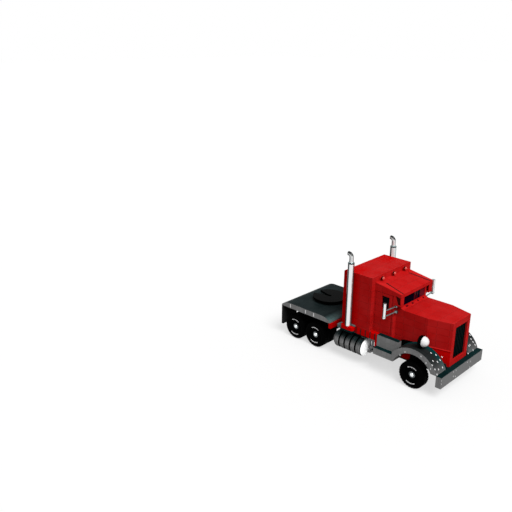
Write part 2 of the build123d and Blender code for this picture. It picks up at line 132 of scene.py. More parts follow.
def makeFloor(plan):
    mesh = bpy.data.meshes.new("studioFloor")
    bm = bmesh.new()
    bmesh.ops.create_grid(bm, x_segments=8, y_segments=8, size=plan["floorHalf"])
    bm.to_mesh(mesh)
    bm.free()
    floor = bpy.data.objects.new("studioFloor", mesh)
    bpy.context.scene.collection.objects.link(floor)
    # matt white paper: a paper backdrop takes a soft shadow and has no shine
    paper = bpy.data.materials.new("mattPaper")
    paper.use_nodes = True
    tree = paper.node_tree
    tree.nodes.clear()
    seen = litBackground(tree)
    tint = addNode(tree, "ShaderNodeMix", {"data_type": "RGBA", 0: seen, 6: toLinear(plan["floorGrey"]),
                                           7: toLinear(plan["floorWhite"])})
    matt = addNode(tree, "ShaderNodeBsdfDiffuse", {"Color": tint.outputs[2]})
    glow = addNode(tree, "ShaderNodeEmission", {"Color": (1, 1, 1, 1), "Strength": 1.0})
    share = addNode(tree, "ShaderNodeMath", {"operation": "MULTIPLY", 0: seen, 1: plan["floorGlow"]})
    both = addNode(tree, "ShaderNodeMixShader", {0: share.outputs[0], 1: matt.outputs[0], 2: glow.outputs[0]})
    addNode(tree, "ShaderNodeOutputMaterial", {"Surface": both.outputs[0]})
    mesh.materials.append(paper)


bpy.context.scene.view_settings.view_transform = "Standard"
makeCamera(cameraPlan)
makeWorld(lightPlan)
makeKey(lightPlan)
makeFloor(lightPlan)
print("camera, light and floor made")


# finishes

seamPlan = {
    "pitch": 16.0,          # mm between upright joints of the bricks
    "course": 9.6,          # mm between the level joints
    "joint": 0.22,          # mm, half the width of a joint with its rounded lips
    "corner": 0.55,         # mm, the spot where four bricks meet, which gets a painted glint
    "across": 0.6,          # a face shows the joints of an axis it turns toward by less than this cosine
}
patternPlan = {             # width of one cell of each pattern in mm, and how many finer layers are in it
    "brickFlow": (18.2, 2.0),       # slow change of tone over several bricks
    "brickGrain": (1.11, 2.0),      # grain of the mould: about 0.05 mm on a real brick, drawn coarser so that it shows
    "partFlow": (14.3, 3.0),
    "partGrain": (0.833, 2.0),      # the same grain on parts moulded in one piece, also drawn coarser
    "plateWave": (11.1, 3.0),       # waves of the moulding under the plating
    "clearFlow": (16.7, 2.0),       # flow marks in clear plastic
    "bloom": (8.33, 4.0),           # patches of dust on rubber
    "rubberGrain": (0.4, 2.0),      # about 0.1 mm on a real tyre, drawn coarser so that it shows
}
paintedShadePlan = {                # painted shade by the way a face turns: an axis, and the cosines between which a face comes to count as turned along it
    "ahead": (0, 0.5, 1.0), "up": (2, 0.05, 0.80),
}
paintedStreakPlan = {              # painted reflection: dark streaks down an upright plated tube, between cosines in the same way
    "toward": (0.707, 0.707, 0.0), "ahead": (0.48, 0.70), "behind": (-0.58, -0.80), "level": (0.15, 0.5),
}


def startFinish(name, *patterns):
    # new material with the patterns that it needs
    material = bpy.data.materials.new(name)
    material.use_nodes = True
    tree = material.node_tree
    tree.nodes.clear()
    place = addNode(tree, "ShaderNodeTexCoord").outputs
    made = []
    for width, detail in (patternPlan[pattern] for pattern in patterns):
        made.append(addNode(tree, "ShaderNodeTexNoise", {"Scale": 1 / (width * mm), "Detail": detail,
                                                         "Vector": place["Object"]}).outputs[0])
    return material, tree, place, *made


def endFinish(material, settings):
    shader = addNode(material.node_tree, "ShaderNodeBsdfPrincipled", settings)
    addNode(material.node_tree, "ShaderNodeOutputMaterial", {"Surface": shader.outputs[0]})
    return material


def layTones(tree, colour, layers):
    # lays tones over a colour one after another, each where its mask says
    for mask, tone in layers:
        mix = addNode(tree, "ShaderNodeMix", {"data_type": "RGBA", 0: mask, 6: colour, 7: toLinear(tone)})
        colour = mix.outputs[2]
    return colour


def brickJoints(tree, axes, facing, plan):
    # masks for the joints and for the spots where they cross, which get a painted glint, and a random tone for each
    # brick
    lines, spots, cells = [], [], []
    for index, step in enumerate((plan["pitch"], plan["pitch"], plan["course"])):
        away = addNode(tree, "ShaderNodeMath", {"operation": "PINGPONG", 0: axes.outputs[index], 1: step * mm / 2})
        size = addNode(tree, "ShaderNodeMath", {"operation": "ABSOLUTE", 0: facing.outputs[index]})
        across = addNode(tree, "ShaderNodeMath", {"operation": "LESS_THAN", 0: size.outputs[0], 1: plan["across"]})
        line = addNode(tree, "ShaderNodeMapRange", {
            "interpolation_type": "SMOOTHSTEP", "From Min": plan["joint"] * mm * 0.5,
            "From Max": plan["joint"] * mm * 1.5, "To Min": 1.0, "To Max": 0.0, "Value": away.outputs[0]})
        spot = addNode(tree, "ShaderNodeMath", {"operation": "LESS_THAN", 0: away.outputs[0], 1: plan["corner"] * mm})
        for masks, mask in ((lines, line), (spots, spot)):
            shown = addNode(tree, "ShaderNodeMath", {"operation": "MULTIPLY", 0: mask.outputs[0], 1: across.outputs[0]})
            masks.append(shown.outputs[0])
        scaled = addNode(tree, "ShaderNodeMath", {"operation": "DIVIDE", 0: axes.outputs[index], 1: step * mm})
        cells.append(addNode(tree, "ShaderNodeMath", {"operation": "FLOOR", 0: scaled.outputs[0]}).outputs[0])
    joint, total = lines[0], spots[0]
    for line, spot in zip(lines[1:], spots[1:]):
        joint = addNode(tree, "ShaderNodeMath", {"operation": "MAXIMUM", 0: joint, 1: line}).outputs[0]
        total = addNode(tree, "ShaderNodeMath", {"operation": "ADD", 0: total, 1: spot}).outputs[0]
    corner = addNode(tree, "ShaderNodeMath", {"operation": "GREATER_THAN", 0: total, 1: 1.5})       # two joints meet
    cell = addNode(tree, "ShaderNodeCombineXYZ", dict(enumerate(cells)))
    brick = addNode(tree, "ShaderNodeTexWhiteNoise", {"noise_dimensions": "3D", "Vector": cell.outputs[0]})
    return joint, corner.outputs[0], brick.outputs["Value"]


def brickAbs(name, plan):
    # moulded ABS bricks: a bright even colour with a hard gloss, a hairline joint between bricks
    # and a faint change of tone from one brick to the next
    material, tree, place, flow, grain = startFinish(name, "brickFlow", "brickGrain")
    axes = addNode(tree, "ShaderNodeSeparateXYZ", {0: place["Object"]})
    facing = addNode(tree, "ShaderNodeSeparateXYZ", {0: place["Normal"]})
    line, corner, brick = brickJoints(tree, axes, facing, {**seamPlan, **plan.get("seams", {})})
    cloud = addNode(tree, "ShaderNodeMapRange", {"From Min": 0.35, "From Max": 0.65, "Value": flow}).outputs[0]
    colour = layTones(tree, toLinear(plan["colour"]), [(cloud, plan["deep"])])
    tone = addNode(tree, "ShaderNodeMapRange", {"To Min": 1 - plan["tone"], "To Max": 1 + plan["tone"], "Value": brick})
    shade = addNode(tree, "ShaderNodeCombineColor", {i: tone.outputs[0] for i in range(3)})
    colour = addNode(tree, "ShaderNodeMix", {"data_type": "RGBA", "blend_type": "MULTIPLY", 0: 1.0, 6: colour,
                                             7: shade.outputs[0]}).outputs[2]
    paintedPatch = []
    if "paintedPatch" in plan:     # painted light: another tone, none to full between two places along and two distances from the middle
        beside = addNode(tree, "ShaderNodeMath", {"operation": "ABSOLUTE", 0: axes.outputs[1]})
        masks = []
        for source, (start, end) in ((axes, plan["patchAlong"]), (beside, plan["patchBeside"])):
            masks.append(addNode(tree, "ShaderNodeMapRange", {
                "interpolation_type": "SMOOTHSTEP", "From Min": start * mm, "From Max": end * mm,
                "Value": source.outputs[0]}).outputs[0])
        share = addNode(tree, "ShaderNodeMath", {"operation": "MULTIPLY", 0: masks[0], 1: masks[1]})
        paintedPatch = [(share.outputs[0], plan["paintedPatch"])]
    joint = addNode(tree, "ShaderNodeMath", {"operation": "MULTIPLY", 0: line, 1: plan["jointShare"]}).outputs[0]
    # painted highlight: the paler tone where joints cross stands in for light caught on the bricks' rounded corners
    corner = addNode(tree, "ShaderNodeMath", {"operation": "MULTIPLY", 0: corner, 1: plan["cornerShare"]}).outputs[0]
    marks = [(joint, plan["joint"]), (corner, plan["corner"])]
    colour = layTones(tree, colour, marks if "top" in plan else paintedPatch + marks)
    if "top" in plan:       # painted shade: the faces that look up are painted dark teal for the dark they mirror, and those that look ahead are painted a shade deeper
        turned = {}
        for way, (index, start, end) in paintedShadePlan.items():
            turned[way] = addNode(tree, "ShaderNodeMapRange", {
                "interpolation_type": "SMOOTHSTEP", "From Min": start, "From Max": end,
                "Value": facing.outputs[index]}).outputs[0]
        colour = addNode(tree, "ShaderNodeMix", {"data_type": "RGBA", "blend_type": "DARKEN", 0: turned["ahead"],
                                                 6: colour, 7: toLinear(plan["ahead"])}).outputs[2]
        dark = layTones(tree, toLinear(plan["top"]), [(cloud, plan["topDeep"])] + paintedPatch + [(joint, plan["topJoint"])])
        colour = addNode(tree, "ShaderNodeMix", {"data_type": "RGBA", 0: turned["up"], 6: colour, 7: dark}).outputs[2]
    rough = addNode(tree, "ShaderNodeMapRange", {"To Min": plan["roughness"] - 0.04, "To Max": plan["roughness"] + 0.05,
                                                 "Value": grain})
    soft = addNode(tree, "ShaderNodeBevel", {"samples": 4, "Radius": 0.35 * mm})
    groove = addNode(tree, "ShaderNodeBump", {"invert": True, "Strength": 0.5, "Distance": 0.12 * mm,
                                              "Height": line, "Normal": soft.outputs[0]})
    skin = addNode(tree, "ShaderNodeBump", {"Strength": 0.12, "Distance": 0.02 * mm,
                                            "Height": grain, "Normal": groove.outputs[0]})
    return endFinish(material, {"Base Color": colour, "Roughness": rough.outputs[0], "Normal": skin.outputs[0],
                                "IOR": 1.53, "Specular IOR Level": plan["shine"]})


def plainAbs(name, plan):
    # moulded ABS in one piece: dark and even, glossy on flats, a little duller where the mould was sparked
    material, tree, place, cloud, grain = startFinish(name, "partFlow", "partGrain")
    rough = addNode(tree, "ShaderNodeMapRange", {"To Min": plan["roughness"] - 0.05, "To Max": plan["roughness"] + 0.06,
                                                 "Value": grain})
    soft = addNode(tree, "ShaderNodeBevel", {"samples": 4, "Radius": 0.25 * mm})
    skin = addNode(tree, "ShaderNodeBump", {"Strength": 0.15, "Distance": 0.03 * mm,
                                            "Height": grain, "Normal": soft.outputs[0]})
    colour = layTones(tree, toLinear(plan["colour"]), [(cloud, plan["deep"])])
    return endFinish(material, {"Base Color": colour, "Roughness": rough.outputs[0], "Normal": skin.outputs[0],
                                "IOR": 1.53, "Specular IOR Level": plan["shine"]})


def chromePlate(name, plan):
    # chrome-plated plastic: a thin bright skin, so it mirrors the room with faint waves from the moulding below
    material, tree, place, cloud = startFinish(name, "plateWave")
    layers = [(cloud, plan["deep"])]
    if "paintedStreak" in plan:       # painted reflection: long dark streaks down both flanks of an upright tube and a grey tone where it turns up or down, and its dark seams
        axes = addNode(tree, "ShaderNodeSeparateXYZ", {0: place["Object"]})
        facing = addNode(tree, "ShaderNodeSeparateXYZ", {0: place["Normal"]})
        turn = addNode(tree, "ShaderNodeVectorMath", {"operation": "DOT_PRODUCT", 0: place["Normal"],
                                                      1: paintedStreakPlan["toward"]}).outputs["Value"]
        level = addNode(tree, "ShaderNodeMath", {"operation": "ABSOLUTE", 0: facing.outputs[2]}).outputs[0]
        for way, source, tone in (("ahead", turn, "paintedStreak"), ("behind", turn, "paintedStreakDeep"), ("level", level, "level")):
            start, end = paintedStreakPlan[way]
            mask = addNode(tree, "ShaderNodeMapRange", {"interpolation_type": "SMOOTHSTEP", "From Min": start,
                                                        "From Max": end, "Value": source})
            layers.append((mask.outputs[0], plan[tone]))
        for low, high in plan["seams"]:
            over = addNode(tree, "ShaderNodeMath", {"operation": "GREATER_THAN", 0: axes.outputs[2], 1: low * mm})
            under = addNode(tree, "ShaderNodeMath", {"operation": "LESS_THAN", 0: axes.outputs[2], 1: high * mm})
            seam = addNode(tree, "ShaderNodeMath", {"operation": "MULTIPLY", 0: over.outputs[0], 1: under.outputs[0]})
            layers.append((seam.outputs[0], plan["seam"]))
    rough = addNode(tree, "ShaderNodeMapRange", {"To Min": plan["roughness"] - 0.04, "To Max": plan["roughness"] + 0.05,
                                                 "Value": cloud})
    wave = addNode(tree, "ShaderNodeBump", {"Strength": 0.08, "Distance": 0.15 * mm, "Height": cloud})
    return endFinish(material, {"Base Color": layTones(tree, toLinear(plan["colour"]), layers),
                                "Roughness": rough.outputs[0], "Normal": wave.outputs[0],
                                "Metallic": plan.get("metal", 1.0)})


def clearPlastic(name, plan):
    # moulded polycarbonate, tinted in the mass: dark from outside, glossy, with faint flow marks
    material, tree, place, flow = startFinish(name, "clearFlow")
    layers = [(flow, plan["deep"])]
    if "beside" in plan:       # painted reflection: the red door post seen through that end of the pane is painted in as a maroon tint
        axes = addNode(tree, "ShaderNodeSeparateXYZ", {0: place["Object"]})
        start, end = plan["besideSpan"]
        near = addNode(tree, "ShaderNodeMapRange", {"interpolation_type": "SMOOTHSTEP", "From Min": start * mm,
                                                    "From Max": end * mm, "Value": axes.outputs[1]})
        layers.append((near.outputs[0], plan["beside"]))
    wave = addNode(tree, "ShaderNodeBump", {"Strength": 0.05, "Distance": 0.1 * mm, "Height": flow})
    return endFinish(material, {"Base Color": layTones(tree, toLinear(plan["colour"]), layers),
                                "Normal": wave.outputs[0], "Roughness": plan["roughness"], "IOR": 1.58,
                                "Transmission Weight": plan["clear"], "Specular IOR Level": plan["shine"]})


def mouldedRubber(name, plan):
    # moulded rubber: near black, matt, with a dusty bloom and a fine grain from the mould
    material, tree, place, bloom, grain = startFinish(name, "bloom", "rubberGrain")
    skin = addNode(tree, "ShaderNodeBump", {"Strength": 0.25, "Distance": 0.05 * mm, "Height": grain})
    return endFinish(material, {"Base Color": layTones(tree, toLinear(plan["colour"]), [(bloom, plan["deep"])]),
                                "Normal": skin.outputs[0], "Roughness": plan["roughness"], "IOR": 1.52,
                                "Specular IOR Level": plan["shine"]})


# shine is the shader's specular level, low where a face shows next to no sheen
# the red's patch, a deeper pure red toward the back of the sleeper, is a painted reflection
redAbs = brickAbs("mouldedAbsRed", {
    "colour": "#C22020", "deep": "#BD1717", "tone": 0.03, "joint": "#6E0A0A", "jointShare": 0.5,
    "corner": "#C64040", "cornerShare": 0.4, "roughness": 0.3, "shine": 0.002,
    "paintedPatch": "#C20202", "patchAlong": (6, -10), "patchBeside": (0, 36)})
# painted light: a lighter copy of the body red, for the visor strips and the nose's sloping ledge
visorAbs = brickAbs("mouldedAbsVisor", {
    "colour": "#CE2626", "deep": "#C81A1A", "tone": 0.02, "joint": "#7A0C0C", "jointShare": 0.3,
    "corner": "#D86A6A", "cornerShare": 0.0, "roughness": 0.3, "shine": 0.002})
# painted light: a brighter, purer copy of the body red, for parts that sit in shade
litRedAbs = brickAbs("mouldedAbsLitRed", {
    "colour": "#D80505", "deep": "#CE0404", "tone": 0.02, "joint": "#8A0606", "jointShare": 0.4,
    "corner": "#E84040", "cornerShare": 0.2, "roughness": 0.3, "shine": 0.002})
# the ahead and top tones are painted shade on the faces that look ahead and up
greyPlan = {
    "colour": "#969696", "deep": "#8C8C8C", "ahead": "#7E7E7E", "tone": 0.03, "roughness": 0.28, "shine": 0.003,
    "top": "#202C2D", "topDeep": "#162324", "topJoint": "#060C0C", "joint": "#4A4C4C", "jointShare": 0.4,
    "corner": "#C8CACA", "cornerShare": 0.25, "seams": {"pitch": 8.0, "course": 8.0},
}
greyAbs = brickAbs("mouldedAbsGrey", greyPlan)
# the deck's patch, a paler teal toward its front end, is painted shading where the deck curves down
deckAbs = brickAbs("mouldedAbsDeck", {
    **greyPlan, "top": "#242D2E", "topDeep": "#1C2526",
    "paintedPatch": "#5E7878", "patchAlong": (-57, -43), "patchBeside": (0, 34)})
fenderAbs = brickAbs("mouldedAbsFender", {       # its patch, a painted teal reflection, takes in the whole length, and fades only across
    **greyPlan, "top": "#262A2A", "topDeep": "#1E2222",
    "paintedPatch": "#003C3D", "patchAlong": (-200, -190), "patchBeside": (44, 33)})
trimAbs = brickAbs("mouldedAbsTrim", {**greyPlan, "top": "#0E2A2B", "topDeep": "#0A2122"})

blackAbs = plainAbs("mouldedAbsBlack", {"colour": "#060707", "deep": "#020303", "roughness": 0.26, "shine": 0.005})
grilleAbs = plainAbs("mouldedAbsGrille", {"colour": "#021314", "deep": "#010809", "roughness": 0.30, "shine": 0.003})
# painted highlight: pale chips and bead arcs for light caught on edges
paintedGlintAbs = plainAbs("paintedGlintPale", {"colour": "#F6F6F6", "deep": "#ECECEC", "roughness": 0.4, "shine": 0.3})
tealAbs = plainAbs("mouldedAbsTeal", {"colour": "#6A7C7C", "deep": "#566868", "roughness": 0.3, "shine": 0.05})
darkTealAbs = plainAbs("mouldedAbsDarkTeal", {"colour": "#0A2C2D", "deep": "#061E1F", "roughness": 0.3, "shine": 0.01})
maroonAbs = plainAbs("mouldedAbsMaroon", {"colour": "#5A0A14", "deep": "#40060E", "roughness": 0.35, "shine": 0.03})
# dark brown: painted shade inside the cab, and also a dark joint by the visor and the markers' cups
darkBrownAbs = plainAbs("mouldedAbsDarkBrown", {"colour": "#1E0806", "deep": "#120403", "roughness": 0.5, "shine": 0.02})
lampPearl = plainAbs("mouldedAbsPearl", {"colour": "#FFFFFF", "deep": "#F4F2F2", "roughness": 0.18, "shine": 0.6})
hubGrey = plainAbs("mouldedAbsHubGrey", {"colour": "#7C8284", "deep": "#6C7476", "roughness": 0.30, "shine": 0.3})

rubber = mouldedRubber("mouldedRubberTyre", {"colour": "#050505", "deep": "#020202", "roughness": 0.5, "shine": 0.006})
flapRubber = mouldedRubber("mouldedRubberFlap", {
    "colour": "#2A2A2A", "deep": "#202020", "roughness": 0.6, "shine": 0.02})

chrome = chromePlate("chromePlatedAbs", {"colour": "#F2F4F4", "deep": "#E2E7E8", "roughness": 0.10})
dishChrome = chromePlate("chromePlatedDish", {"colour": "#FFFFFF", "deep": "#FAFBFB", "roughness": 0.85})     # satin
# the streak and level tones are painted reflection, and the seams are dark joints
stackMarks = {
    "paintedStreakDeep": "#0A1010", "level": "#7E9292",
    "seam": "#141C1C", "seams": ((148.8, 150.6), (162.6, 166.5)),       # mm above the ground
}
stackChrome = chromePlate("chromePlatedStack", {
    **stackMarks, "colour": "#FAFBFB", "deep": "#EEF2F2", "roughness": 0.12, "metal": 0.7, "paintedStreak": "#566E6E"})
dullChrome = chromePlate("chromePlatedDull", {       # thin worn plating, so the body mirrored in it stays faint
    **stackMarks, "colour": "#EEFFFF", "deep": "#E8FAFA", "roughness": 0.3, "metal": 0.08, "paintedStreak": "#A4B2B2"})
neckChrome = chromePlate("chromePlatedNeck", {
    "colour": "#ECEEEE", "deep": "#DADCDC", "roughness": 0.14, "metal": 0.3, "paintedStreak": "#5A6262",
    "paintedStreakDeep": "#0C1010", "level": "#0E1414", "seams": ()})

smokedGlass = clearPlastic("smokedPolycarbonate", {
    "colour": "#04060E", "deep": "#020308", "roughness": 0.06, "clear": 0.02, "shine": 0.006})
screenGlass = clearPlastic("smokedScreenPolycarbonate", {
    "colour": "#05041A", "deep": "#030212", "roughness": 0.06, "clear": 0.0, "shine": 0.004,
    "beside": "#6A0A1C", "besideSpan": (14.0, 17.0)})
# painted shade: a pane whose dark brown stands in for the shaded inside of the cab behind it
quarterShadeGlass = clearPlastic("quarterShadePolycarbonate", {
    "colour": "#420705", "deep": "#330504", "roughness": 0.1, "clear": 0.02, "shine": 0.004})
markerLens = clearPlastic("clearRedPolycarbonate", {
    "colour": "#F06A60", "deep": "#E04A40", "roughness": 0.08, "clear": 0.15, "shine": 0.3})
print("finishes made")

slotFinish = {
    "red_plastic": redAbs, "grey_plastic": greyAbs, "black_plastic": blackAbs, "black_rubber": rubber,
    "chrome": chrome, "marker_red": markerLens, "tinted_glass": smokedGlass,
}
ownFinish = {
    "grille": grilleAbs, "body_floor": litRedAbs, "deck_panel": litRedAbs, "deck": deckAbs,
    "front_fender_left": fenderAbs, "front_fender_right": fenderAbs, "bumper": trimAbs, "step_left": trimAbs,
    "step_right": trimAbs, "windscreen": screenGlass, "mirror_left": stackChrome, "mirror_right": stackChrome,
    "mud_flaps": flapRubber,
}
for entry in frame["record"]["subparts"]:
    node = entry["node"]
    made = ownFinish.get(node, slotFinish[entry["material_slot"]])
    for socket in frame["nodes"][node].material_slots:
        socket.material = made
print("finishes set on the packed nodes")


# mesh tools

def makePiece(name, bm, finishes, body, replaced=()):
    bmesh.ops.recalc_face_normals(bm, faces=bm.faces)
    mesh = bpy.data.meshes.new(name)
    bm.to_mesh(mesh)
    bm.free()
    mesh.shade_smooth()
    mesh.set_sharp_from_angle(angle=math.radians(32))
    for finish in finishes:
        mesh.materials.append(finish)
    piece = bpy.data.objects.new(name, mesh)
    bpy.context.scene.collection.objects.link(piece)
    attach(piece, body)
    if replaced:
        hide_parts(*replaced)


def axisFrame(origin, along):
    # frame at a point in mm, with its z axis along the given direction
    forward = Vector(along).normalized()
    side = forward.orthogonal().normalized()
    if abs(forward.z) < 0.9:
        side = forward.cross(Vector((0, 0, 1))).normalized()
    return Matrix.Translation(Vector(origin) * mm) @ Matrix((side, forward.cross(side), forward)).transposed().to_4x4()


def joinRings(bm, rings, finish=0):
    # faces between rings that have the same number of points
    for low, high in zip(rings, rings[1:]):
        for i in range(len(low)):
            j = (i + 1) % len(low)
            bm.faces.new((low[i], low[j], high[j], high[i])).material_index = finish


def lathe(bm, profile, origin, along, steps, finish=0, closed=False):
    # turns (distance along the axis, radius) points, in mm; a radius of 0 closes on the axis
    place = axisFrame(origin, along)
    around = [2 * math.pi * i / steps for i in range(steps)]
    rings = []
    for distance, radius in profile:
        r, up = radius * mm, distance * mm
        rings.append([bm.verts.new(place @ Vector((r * math.cos(a), r * math.sin(a), up)))
                      for a in (around if radius else around[:1])])
    pairs = list(zip(rings, rings[1:])) + ([(rings[-1], rings[0])] if closed else [])
    for low, high in pairs:
        for i in range(steps):
            j = (i + 1) % steps
            corners = [low[i % len(low)], low[j % len(low)], high[j % len(high)], high[i % len(high)]]
            unique = list(dict.fromkeys(corners))
            if len(unique) > 2:
                bm.faces.new(unique).material_index = finish


def domeCurve(start, radius, long, step):
    # quarter of an ellipse from a rim of the given radius to a tip on the axis
    return [(start + (long - start) * math.sin(math.radians(a)), radius * math.cos(math.radians(a)))
            for a in range(step, 90, step)] + [(long, 0)]


def addBlock(bm, x, y, z, edge=0.3):
    # box between low and high values in mm, with a small bevel as a moulded part has
    made = bmesh.ops.create_cube(bm, size=1.0)["verts"]
    for vert in made:
        vert.co = Vector([(low + high) / 2 * mm + vert.co[i] * (high - low) * mm
                          for i, (low, high) in enumerate((x, y, z))])
    if edge:
        edges = list(dict.fromkeys(e for vert in made for e in vert.link_edges))
        bmesh.ops.bevel(bm, geom=edges, offset=edge * mm, segments=2, affect="EDGES", profile=0.5)


def sideBlocks(bm, sign, blocks, edge=0.3):
    # boxes on one side of the truck, each from its spans along, out from the middle and up
    for along, out, up in blocks:
        addBlock(bm, along, sorted((sign * out[0], sign * out[1])), up, edge)


def arcBlock(bm, place, radii, angles, distances, steps):
    # block bent round an axis: between two radii, two angles in degrees and two distances along the axis
    (inner, outer), (near, far) = radii, distances
    rings = []
    for i in range(steps + 1):
        angle = math.radians(angles[0] + (angles[1] - angles[0]) * i / steps)
        rings.append([bm.verts.new(place @ Vector((r * mm * math.cos(angle), r * mm * math.sin(angle), d * mm)))
                      for r, d in ((inner, near), (outer, near), (outer, far), (inner, far))])
    joinRings(bm, rings)
    bm.faces.new(rings[0])
    bm.faces.new(rings[-1])


def addPrism(bm, lower, upper, finish=0):
    # closed solid between two outlines in mm that have the same number of points
    rings = [[bm.verts.new(Vector(point) * mm) for point in outline] for outline in (lower, upper)]
    for ring in rings:
        bm.faces.new(ring).material_index = finish
    joinRings(bm, rings, finish)


def sideSlab(bm, sign, outline, out, finish=0):
    # flat upright piece from an outline of (x, z) points, between two distances out from the middle
    addPrism(bm, *[[(x, y, z) for x, z in outline] for y in sorted((sign * out[0], sign * out[1]))], finish)


# wheels

wheelPlan = {
    "axles": {"front": 96.0, "mid": -72.0, "rear": -112.0},
    "height": 19.5, "tyreRadius": 19.5, "seat": 12.3,
    "frontWide": 14.0, "twinWide": 15.0, "twinGap": 2.0, "outside": 56.0,
    "treadDeep": 0.6, "lugs": 30, "lugShare": 0.72,
    "dish": 4.0, "hub": 6.0, "pin": 2.55, "cap": 3.3,
    "nuts": 8, "nutRing": 8.0,
    "beadHalf": 0.9,
    "beadParts": ((-34, -26), (-24, -8), (-6, 7), (10, 18), (21, 30)),      # degrees from the top and the bottom, where the painted highlight falls
    "steps": 72,
}


def tyreRing(bm, along, x, inner, wide, plan):
    outer, seat = plan["tyreRadius"], plan["seat"]
    base = outer - plan["treadDeep"]
    half = [(0.9, seat), (0.25, seat + 0.5), (0.0, seat + 1.3), (0.0, seat + 2.6), (0.25, seat + 2.8),
            (0.25, seat + 3.2), (0.0, seat + 3.4), (0.1, seat + 4.6), (0.6, outer - 1.7), (1.4, outer - 1.0),
            (2.2, base)]
    profile = half + [(wide - a, r) for a, r in reversed(half)]
    lathe(bm, profile, (x, inner, plan["height"]), along, plan["steps"], closed=True)
    ring = axisFrame((x, inner, plan["height"]), along)
    pitch = 360 / plan["lugs"]
    for i in range(plan["lugs"]):
        for row, (start, end) in enumerate(((1.9, wide / 2 - 0.5), (wide / 2 + 0.5, wide - 1.9))):
            turn = (i + 0.5 * row) * pitch
            arcBlock(bm, ring, (base - 0.3, outer), (turn, turn + pitch * plan["lugShare"]), (start, end), 2)


def buildWheel(axle, side, plan):
    sign = sides[side]
    along = (0, sign, 0)
    x, height = plan["axles"][axle], plan["height"]
    single = axle == "front"
    wide = plan["frontWide"] if single else plan["twinWide"]
    inner = plan["outside"] - wide if single else plan["outside"] - 2 * wide - plan["twinGap"]
    body = axle + "_wheel_" + side
    bm = bmesh.new()
    for start in [inner] if single else [inner, plan["outside"] - wide]:
        tyreRing(bm, along, x, sign * start, wide, plan)
    tyreNode = axle + ("_tyre_" if single else "_tyres_") + side
    makePiece(axle + "Tyre_" + side, bm, [rubber], body, [tyreNode])

    bm = bmesh.new()
    deep = plan["outside"] - inner
    face = deep - plan["dish"]
    seat, hub, pin = plan["seat"], plan["hub"], plan["pin"]
    profile = [(0, pin), (0, seat - 1.2), (0.3, seat - 0.4), (0.8, seat), (deep - 1.2, seat), (deep - 0.5, seat - 0.3),
               (deep - 0.4, seat - 0.8), (deep - 0.8, seat - 1.4), (face + 0.4, seat - 2.0), (face, seat - 2.6),
               (face, hub + 0.8), (face + 0.2, hub), (face + 1.0, hub - 0.2), (face + 1.2, hub - 0.5),
               (face + 1.2, 3.6), (face, 3.5), (face, 0)]
    lathe(bm, profile, (x, sign * inner, height), along, plan["steps"])
    lathe(bm, [(0, pin), (face - 2.2, pin), (face - 2.2, 0)], (x, sign * inner, height), along, 24)
    hubSpot = (x, sign * (inner + face), height)
    hubPlace, nutRing = axisFrame(hubSpot, along), plan["nutRing"] * mm
    for i in range(plan["nuts"]):
        angle = math.radians(360 / plan["nuts"] * (i + 0.5))
        centre = hubPlace @ Vector((nutRing * math.cos(angle), nutRing * math.sin(angle), 0))
        lathe(bm, [(-0.4, 0.9), (0.7, 0.85), (0.9, 0.6), (0.9, 0)], centre / mm, along, 6)
    makePiece(axle + "Rim_" + side, bm, [blackAbs], body, [axle + "_rim_" + side])

    bm = bmesh.new()        # hub: bright domed cap in a grey ring
    cap = plan["cap"]
    lathe(bm, [(0.2, 3.5), (1.5, 4.6), (1.7, 4.4), (1.8, 3.4), (0.6, cap)], hubSpot, along, 36, 1, True)
    lathe(bm, [(0.5, cap), (1.2, cap)] + domeCurve(1.2, cap, 3.4, 15), hubSpot, along, 36, 0)
    makePiece(axle + "Cap_" + side, bm, [chrome, hubGrey], body)

    bm = bmesh.new()        # painted highlight: broken pale line where the tyre's bead meets the rim, at its top and bottom
    bead = axisFrame((x, sign * plan["outside"], height), along)
    upward = bead.to_3x3().inverted() @ Vector((0, 0, 1))
    top = math.degrees(math.atan2(upward.y, upward.x))
    for middle in (top, top + 180):
        for start, end in plan["beadParts"]:
            arcBlock(bm, bead, (seat - plan["beadHalf"], seat + plan["beadHalf"]), (middle + start, middle + end),
                     (-1.3, -0.3), 4)
    makePiece(axle + "BeadGlint_" + side, bm, [paintedGlintAbs], body)


for axle in wheelPlan["axles"]:
    for side in sides:
        buildWheel(axle, side, wheelPlan)
print("wheels made")


# fuel tanks

tankPlan = {
    "back": -36.0, "y": 42.4, "z": 25.2, "radius": 13.4, "drums": 5, "drumLong": 9.6, "gap": 2.0, "core": 11.4,
    "dish": 11.6, "dishLong": 4.0, "frontDish": 12.7, "frontLong": 5.2,
    "armIn": 14.0, "armWide": 8.0, "armLow": 34.0, "armTop": 44.0,
}


def dishCurve(radius, long):
    # domed end with a small lip round it
    lip = [(0, radius), (0.5, radius), (0.8, radius - 0.3), (0.9, radius - 0.8)]
    return lip + domeCurve(0.9, radius - 0.8, long, 10)


